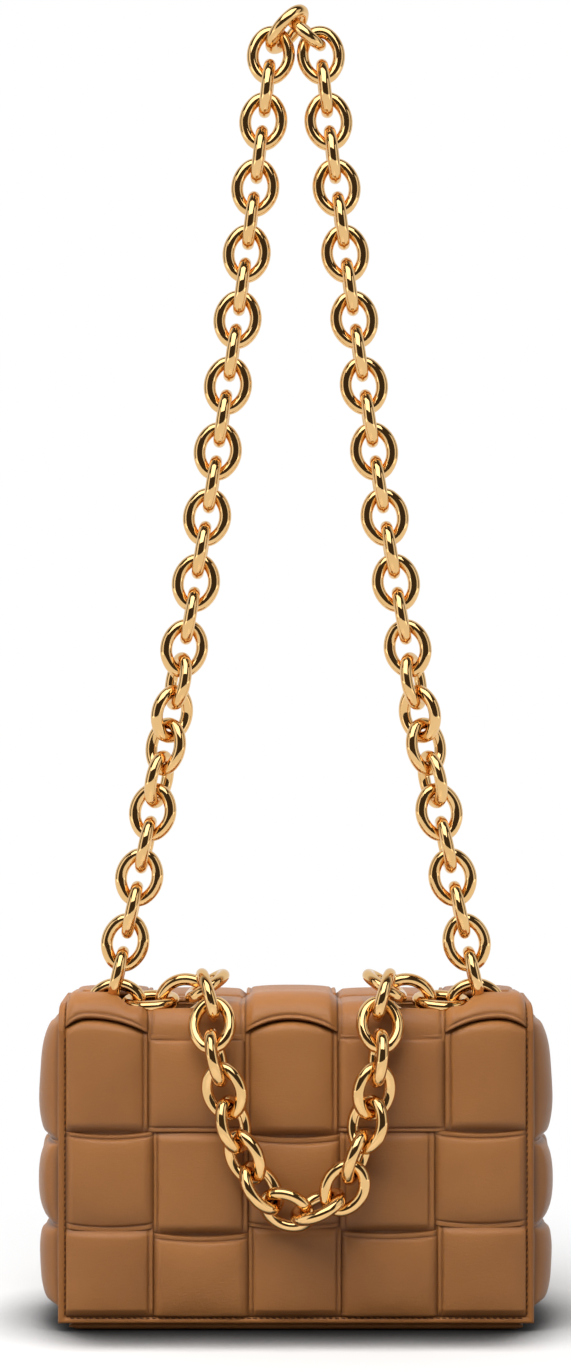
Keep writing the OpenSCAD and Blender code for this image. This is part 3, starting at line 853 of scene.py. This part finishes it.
def makeSteel(v):
    # plain metal with a faint haze in its roughness
    paint = Paint(bpy.data.materials.new("plainSteel"))
    haze = paint.noise(paint.add("ShaderNodeTexCoord", out=3), v["hazeScale"], 3.0)
    return paint.finish(paint.add("ShaderNodeBsdfPrincipled", None, {
        "Base Color": v["colour"], "Metallic": 1.0, "Roughness": haze * v["roughSpread"] + v["rough"]}))


magnetSteel = makeSteel(steel)
finishes = {"base_board": makeBoard(board), "flap_magnets": magnetSteel, "wall_magnets": magnetSteel}
finishes.update((name, gold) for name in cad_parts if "link" in name)
for name, finish in finishes.items():
    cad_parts[name].data.materials.clear()
    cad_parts[name].data.materials.append(finish)
print("stage 8: metal finished")

# The studio: a pale floor that keeps the lamps' soft shadow and a painted contact shadow under the bag, broad
# lamps, and a white surround behind the bag.
studio = {
    "focal": 2953.0, "rows": 1372.0, "sensor": 24.0, "eye": (-5.2, -1500.0, 319.0),
    "frontWorld": (0.052, 0.041, 0.03, 1), "backWorld": (0.9, 0.9, 0.9, 1), "behind": (-0.05, 0.45),
    "floorTone": (0.8, 0.8, 0.8, 1), "floorBounce": (0.22, 0.22, 0.22, 1),
    "shadowTone": (0.02, 0.02, 0.02, 1),
    "shadowReach": 0.045, "shadowPower": 7.0, "endPower": 2.2, "shadowHalf": (0.09, 0.135),
    "whiteFrom": 0.13, "whiteTo": 0.34, "whiteStretch": (1.25, 0.8, 1.0),
    "floorLow": (-4000.0, -1400.0), "floorHigh": (4000.0, 4000.0), "floorHeight": -0.3,
    # place, aim, size in metres and power of each lamp
    "lamps": [("topLamp", (-150, -820, 1350), (0, 0, 250), (1.45, 1.1), 12.5),
              ("leftLamp", (-1500, -700, 520), (0, 0, 300), (0.9, 1.9), 5.6),
              ("rightLamp", (1500, -650, 520), (0, 0, 300), (0.9, 1.9), 4.6),
              ("nearLamp", (-350, -560, 1150), (0, 0, 100), (1.3, 0.9), 14.5)],
}


def paintFloor():
    # what the camera and the metal see carries a painted contact shadow, darkest under the bag, by ambient
    # occlusion raised to a power that is weaker past the bag's ends, and fades to plain white away from it;
    # other light sees a duller floor
    paint = Paint(bpy.data.materials.new("paleFloor"))
    watched = paint.add("ShaderNodeLightPath") + paint.add("ShaderNodeLightPath", out=3)
    where = paint.add("ShaderNodeTexCoord", out=3)
    middle = inMetres(np.zeros(3))
    fromBag = paint.add("ShaderNodeVectorMath", {"operation": "SUBTRACT"}, {0: where, 1: tuple(middle)})
    stretched = paint.add("ShaderNodeVectorMath", {"operation": "MULTIPLY"}, {
        0: fromBag, 1: studio["whiteStretch"]})
    away = paint.add("ShaderNodeVectorMath", {"operation": "LENGTH"}, {0: stretched}, 1)
    far = paint.between(away, studio["whiteFrom"], studio["whiteTo"])
    # painted contact shadow: ambient occlusion darkens the floor's colour
    openness = paint.add("ShaderNodeAmbientOcclusion", {"samples": 8}, {"Distance": studio["shadowReach"]}, 1)
    sideways = paint.maths("ABSOLUTE", paint.add("ShaderNodeSeparateXYZ", None, {0: fromBag}, 0))
    power = paint.between(sideways, *studio["shadowHalf"], studio["shadowPower"], studio["endPower"])
    shade = paint.mix(openness ** power, studio["shadowTone"], studio["floorTone"])
    shade = paint.mix(watched, studio["floorBounce"], shade)
    dull = paint.add("ShaderNodeBsdfDiffuse", None, {"Color": shade})
    white = paint.add("ShaderNodeEmission", None, {"Color": (1, 1, 1, 1), "Strength": 1.0})
    whiteness = paint.maths("MINIMUM", watched, 1.0) * far
    return paint.finish(paint.add("ShaderNodeMixShader", None, {0: whiteness, 1: dull, 2: white}))


def makeFloor():
    # one wide level quad, a little under the bag
    (x0, y0), (x1, y1), z = studio["floorLow"], studio["floorHigh"], studio["floorHeight"]
    mesh = bpy.data.meshes.new("floor")
    corners = inMetres(np.array([[x0, y0, z], [x1, y0, z], [x1, y1, z], [x0, y1, z]]))
    mesh.from_pydata(corners.tolist(), [], [(0, 1, 2, 3)])
    mesh.materials.append(paintFloor())
    floor = bpy.data.objects.new("floor", mesh)
    bpy.context.scene.collection.objects.link(floor)


def makeWorld():
    # dim in front, white behind the bag, and plain white to the camera
    paint = Paint(bpy.data.worlds.new("studioWorld"))
    view = paint.add("ShaderNodeLightPath")
    direction = paint.add("ShaderNodeTexCoord", out=0)
    behind = paint.between(paint.add("ShaderNodeSeparateXYZ", None, {0: direction}, 1), *studio["behind"])
    room = paint.mix(behind, studio["frontWorld"], studio["backWorld"])
    surround = paint.add("ShaderNodeBackground", None, {
        "Color": paint.mix(view, room, (1, 1, 1, 1)), "Strength": 1.0})
    bpy.context.scene.world = paint.finish(surround, "ShaderNodeOutputWorld")


def makeLamp(name, at, aim, size, power):
    # a rectangle of light that looks along the line from its place to its aim
    light = bpy.data.lights.new(name, "AREA")
    light.shape = "RECTANGLE"
    light.size, light.size_y = size
    light.energy = power
    lamp = bpy.data.objects.new(name, light)
    bpy.context.scene.collection.objects.link(lamp)
    place, target = inMetres(np.array(at, float)), inMetres(np.array(aim, float))
    back = place - target
    back /= np.linalg.norm(back)
    right = np.cross([0, 0, 1.0], back)
    right /= np.linalg.norm(right)
    matrix = np.eye(4)
    matrix[:3] = np.stack([right, np.cross(back, right), back, place], -1)
    lamp.matrix_world = matrix.T.tolist()
    return lamp


def makeCamera():
    # level, and looking straight on: its lens is the sensor's height times the focal length over the rows
    camera = bpy.data.cameras.new("photoCamera")
    camera.sensor_fit = "VERTICAL"
    camera.sensor_height = studio["sensor"]
    camera.lens = studio["sensor"] * studio["focal"] / studio["rows"]
    camera.clip_start, camera.clip_end = 0.05, 50.0
    eye = bpy.data.objects.new("photoCamera", camera)
    bpy.context.scene.collection.objects.link(eye)
    eye.location = inMetres(np.array(studio["eye"]))
    eye.rotation_euler = (math.pi / 2, 0, 0)
    bpy.context.scene.camera = eye


makeFloor()
makeWorld()
lamps = [makeLamp(*values) for values in studio["lamps"]]
lamps[-1].visible_glossy = False    # a soft light for the leather that leaves no mark in the metal
makeCamera()
bpy.context.scene.view_settings.view_transform = "Standard"
print("stage 9: studio made")
